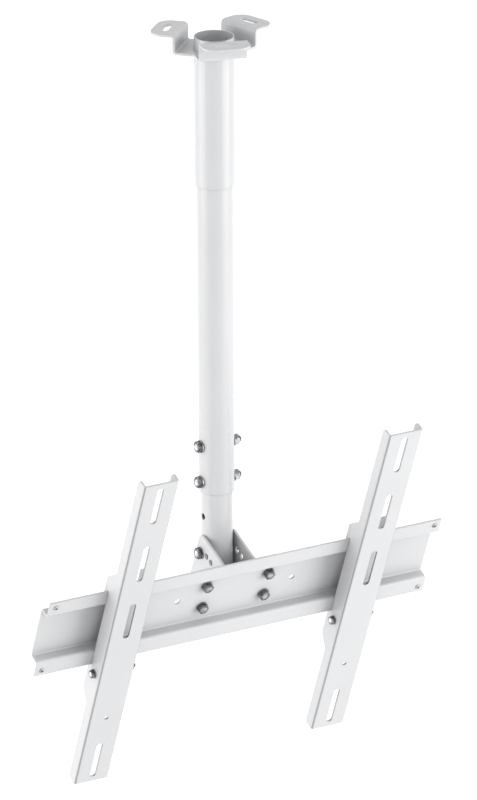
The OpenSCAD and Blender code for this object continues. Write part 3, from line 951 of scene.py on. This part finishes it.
@dataclass
class Rail:
    """The hat-section rail with its bolts, stop screws and the two cheeks."""

    web_y: float = -0.0565
    middle_z: float = -0.0185
    bolt_x: float = 0.0443
    bolt_z: float = 0.018
    clamped: float = 0.0055
    stop_x: float = 0.2725
    stop_z: float = 0.05345
    lip_step: float = 0.0148
    washer_t: float = 0.0016
    beyond: float = 0.010
    thread_in: float = 0.002

    def build(self, finishes: Finishes) -> None:
        """Builds the rail bolts and the stop screws.

        Args:
            finishes: the mount's finishes.
        """
        length = self.clamped + 2 * self.washer_t + self.beyond
        bolt = HexBolt(**M8, length=length, thread=self.beyond + self.thread_in)
        bolts = bmesh.new()
        for place in self.corners(self.bolt_x, self.web_y - self.washer_t, self.bolt_z):
            join(bolts, bolt.mesh(place))
        # The bolts' faces take the nut's plate as a painted highlight, and their sides take the
        # dark copy as painted shade.
        piece = make_piece("rail_bolt_set", bolts, finishes.nut, finishes.shaded_bolt)
        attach(piece, "head")
        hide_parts("rail_bolts")
        LOG.info("four rail bolts")
        screws = bmesh.new()
        for place in self.corners(self.stop_x, self.web_y - self.lip_step, self.stop_z):
            join(screws, DomeScrew().mesh(place))
        piece = make_piece("stop_screw_set", screws, finishes.washer, smooth=50.0)
        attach(piece, "head")
        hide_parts("stop_screws")
        LOG.info("four stop screws")

    def corners(self, x: float, y: float, z: float) -> list[Matrix]:
        """Gives four places around the rail's middle, facing its back.

        Args:
            x: their distance from the middle along the rail.
            y: their distance behind the tilt pivot.
            z: their distance from the middle in height.

        Returns:
            The four places.
        """
        return [
            head_place(sx * x, y, self.middle_z + sz * z) @ Matrix.Rotation(QUARTER, 4, "Z")
            for sx in (-1, 1)
            for sz in (-1, 1)
        ]

    def dress(self, finishes: Finishes) -> None:
        """Gives the rail, the cheeks and their nuts and washers their finishes.

        Args:
            finishes: the mount's finishes.
        """
        dress_node("rail", finishes.rail_coat)
        for name in ("cheek_left", "cheek_right"):
            dress_node(name, finishes.coat)
        dress_node("rail_nuts", finishes.nut)
        dress_node("rail_washers", finishes.washer)


@dataclass
class Arm:
    """One of the two channel arms, with its lock bolt."""

    side: str
    x: float
    face_y: float = -0.0958
    middle_z: float = -0.0154
    half_w: float = 0.02425
    lock_depth: float = 0.014
    lock_z: float = -0.07195
    washer_t: float = 0.0012
    beyond: float = 0.008
    thread_in: float = 0.006

    def build(self, finishes: Finishes) -> None:
        """Builds the lock bolt.

        Args:
            finishes: the mount's finishes.
        """
        length = 2 * self.half_w + 2 * self.washer_t + self.beyond
        place = head_place(
            self.x - self.half_w - self.washer_t,
            self.face_y + self.lock_depth,
            self.middle_z + self.lock_z,
        )
        bolt = HexBolt(**M6, length=length, thread=self.beyond + self.thread_in)
        # The bolt's face takes the bright plate as a painted highlight, and its sides take the
        # dark copy as painted shade.
        piece = make_piece(
            f"arm_{self.side}_lock_bolt", bolt.mesh(place), finishes.bolt, finishes.shaded_bolt
        )
        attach(piece, f"arm_{self.side}")
        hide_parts(f"arm_{self.side}_bolt")
        LOG.info("lock bolt of the %s arm", self.side)

    def dress(self, finishes: Finishes) -> None:
        """Gives the arm, its nut and its washers their finishes.

        Args:
            finishes: the mount's finishes.
        """
        dress_node(f"arm_{self.side}", finishes.arm_coat)
        dress_node(f"arm_{self.side}_nut", finishes.nut)
        dress_node(f"arm_{self.side}_washers", finishes.washer)


@dataclass
class Studio:
    """The camera, the lamps, the sky and the floor."""

    azimuth: float = math.radians(29.4155)
    elevation: float = math.radians(20.7514)
    roll: float = math.radians(-0.2678)
    distance: float = 8.09243
    target_z: float = -0.7048
    metres_per_pixel: float = 0.001263628
    shift_right: float = 21.2895
    shift_up: float = 164.0914
    lens: float = 288.188
    sensor_h: float = 36.0
    camera_reach: float = 60.0
    floor_z: float = -1.75
    floor_half: float = 40.0
    floor_tone: float = 0.9
    floor_glow: float = 0.62
    lamp_w: float = 3.0
    lamp_h: float = 2.4
    lamp_far: float = 3.6
    lamp_z: float = -0.35
    lamp_aim: float = -0.55
    # Each side lamp's direction in degrees to the right of the camera's, and its power in watts
    left_lamp: tuple[float, float] = (-76.0, 60.0)
    right_lamp: tuple[float, float] = (70.0, 68.0)
    sky: float = 0.58

    def camera(self) -> None:
        """Places the camera where the photograph was taken from."""
        ca, sa = math.cos(self.azimuth), math.sin(self.azimuth)
        ce, se = math.cos(self.elevation), math.sin(self.elevation)
        fwd = Vector((sa * ce, ca * ce, -se))
        right = Vector((ca, -sa, 0))
        up = right.cross(fwd)
        cr, sr = math.cos(self.roll), math.sin(self.roll)
        side = right * cr + up * sr
        top = up * cr - right * sr
        scale = self.metres_per_pixel
        spot = (
            Vector((0, 0, self.target_z))
            - fwd * self.distance
            + side * self.shift_right * scale
            + top * self.shift_up * scale
        )
        data = bpy.data.cameras.new("photo_camera")
        data.sensor_fit = "VERTICAL"
        data.sensor_height = self.sensor_h
        data.lens = self.lens
        data.clip_end = self.camera_reach
        cam = bpy.data.objects.new("photo_camera", data)
        turn = Matrix((side, top, -fwd)).transposed().to_4x4()
        cam.matrix_world = Matrix.Translation(spot) @ turn
        bpy.context.scene.collection.objects.link(cam)
        bpy.context.scene.camera = cam

    def white_to_eye(self, t: NodeTree) -> bpy.types.NodeSocket:
        """Says which rays see plain white.

        Args:
            t: the node tree.

        Returns:
            1 on camera, glossy and transmission rays.
        """
        path = t.add("ShaderNodeLightPath")
        seen = t.math("MAXIMUM", path.outputs["Is Camera Ray"], path.outputs["Is Glossy Ray"])
        return t.math("MAXIMUM", seen, path.outputs["Is Transmission Ray"])

    def world(self) -> None:
        """Makes a plain soft sky that the camera sees as white."""
        world = bpy.data.worlds.new("studio_sky")
        bpy.context.scene.world = world
        world.use_nodes = True
        t = NodeTree(world.node_tree)
        light = t.add("ShaderNodeBackground", Color=(1, 1, 1, 1), Strength=self.sky)
        white = t.add("ShaderNodeBackground", Color=(1, 1, 1, 1), Strength=1.0)
        mix = t.add("ShaderNodeMixShader")
        t.link(self.white_to_eye(t), mix.inputs["Fac"])
        t.link(light.outputs[0], mix.inputs[1])
        t.link(white.outputs[0], mix.inputs[2])
        t.link(mix.outputs[0], t.add("ShaderNodeOutputWorld").inputs["Surface"])

    def lamp(self, name: str, turn: float, power: float) -> None:
        """Adds a soft lamp beside the mount.

        Args:
            name: its name.
            turn: its direction from the mount, in degrees to the right of the camera's.
            power: its power in watts.
        """
        data = bpy.data.lights.new(name, "AREA")
        data.shape = "RECTANGLE"
        data.size = self.lamp_w
        data.size_y = self.lamp_h
        data.energy = power
        lamp = bpy.data.objects.new(name, data)
        around = math.radians(turn) - self.azimuth
        aim = Vector((0, 0, self.lamp_aim))
        spot = Vector((math.sin(around), -math.cos(around), 0)) * self.lamp_far
        spot.z = self.lamp_z
        lamp.location = spot
        lamp.rotation_euler = (aim - spot).to_track_quat("-Z", "Y").to_euler()
        bpy.context.scene.collection.objects.link(lamp)

    def floor(self) -> None:
        """Makes the plain white floor far below the mount."""
        bm = bmesh.new()
        bmesh.ops.create_grid(bm, x_segments=1, y_segments=1, size=self.floor_half)
        bmesh.ops.translate(bm, verts=bm.verts, vec=(0, 0, self.floor_z))
        mat, t = new_finish("floor_paint")
        paint = t.add("ShaderNodeBsdfDiffuse", Color=(*grey(self.floor_tone), 1))
        glow = t.add("ShaderNodeEmission", Color=(1, 1, 1, 1), Strength=self.floor_glow)
        seen = t.add("ShaderNodeAddShader")
        t.link(paint.outputs[0], seen.inputs[0])
        t.link(glow.outputs[0], seen.inputs[1])
        mix = t.add("ShaderNodeMixShader")
        t.link(self.white_to_eye(t), mix.inputs["Fac"])
        t.link(paint.outputs[0], mix.inputs[1])
        t.link(seen.outputs[0], mix.inputs[2])
        t.link(mix.outputs[0], t.add("ShaderNodeOutputMaterial").inputs["Surface"])
        make_piece("floor", bm, mat)

    def build(self) -> None:
        """Sets the whole studio up."""
        self.camera()
        self.world()
        self.floor()
        self.lamp("left_lamp", *self.left_lamp)
        self.lamp("right_lamp", *self.right_lamp)
        bpy.context.scene.view_settings.view_transform = "Standard"
        LOG.info("studio is up")


def main() -> None:
    """Builds the mount's pieces, finishes and studio in order."""
    logging.basicConfig(level=logging.INFO, format="%(name)s: %(message)s")
    finishes = Finishes()
    assemblies = [
        CeilingBracket(),
        Pole(),
        Rail(),
        Arm(side="left", x=-0.1764),
        Arm(side="right", x=0.1701),
    ]
    for assembly in assemblies:
        assembly.build(finishes)
        assembly.dress(finishes)
    Studio().build()


if __name__ == "__main__":
    main()
